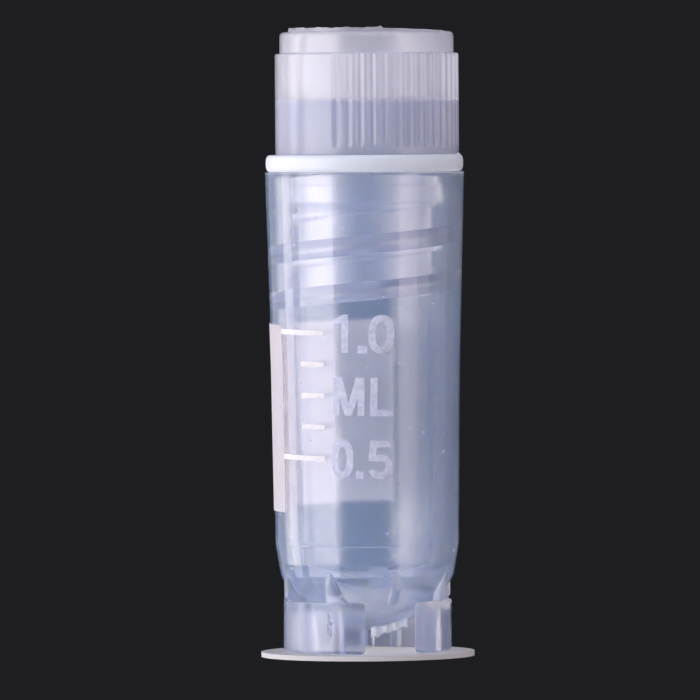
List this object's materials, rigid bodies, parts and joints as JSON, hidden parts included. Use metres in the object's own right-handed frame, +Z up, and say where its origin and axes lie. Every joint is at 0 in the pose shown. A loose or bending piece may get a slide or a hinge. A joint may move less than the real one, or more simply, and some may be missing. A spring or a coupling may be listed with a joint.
{
  "type": "cryogenic vial",
  "caption": "Self-standing translucent sample vial with an internal thread, a silicone washer and a ribbed screw cap; the cap unscrews and lifts off.",
  "frame": {"origin": "on the floor, under the tube's axis, midway between the feet", "axes": "+Z up along the tube's axis, -Y the front with the graduations, +X to the right seen from the front"},
  "size_m": [0.0126, 0.0126, 0.0392],
  "materials": {
    "tube_plastic": "natural translucent polypropylene, smooth and glossy",
    "cap_plastic": "natural translucent polypropylene, milky, with a satin surface",
    "washer_silicone": "white silicone, smooth and soft",
    "white_ink": "white screen-printed ink, matt"
  },
  "bodies": {
    "vial": {"vial_body": "tube_plastic", "writing_panel": "white_ink", "graduation_marks": "white_ink", "graduation_numbers": "white_ink"},
    "washer": {"washer": "washer_silicone"},
    "cap": {"cap": "cap_plastic"}
  },
  "joints": [
    {"name": "cap_lift", "type": "slide", "parent": "vial", "child": "washer", "axis": [0, 0, 1], "range_m": [0, 0.0087]},
    {"name": "cap_screw", "type": "hinge", "parent": "washer", "child": "cap", "pos_m": [0, 0, 0.0312], "axis": [0, 0, 1], "range_deg": [0, 1080.1]}
  ],
  "couplings": [
    {"joint": "cap_screw", "follows": "cap_lift", "rad_per_m": 2166.6}
  ]
}
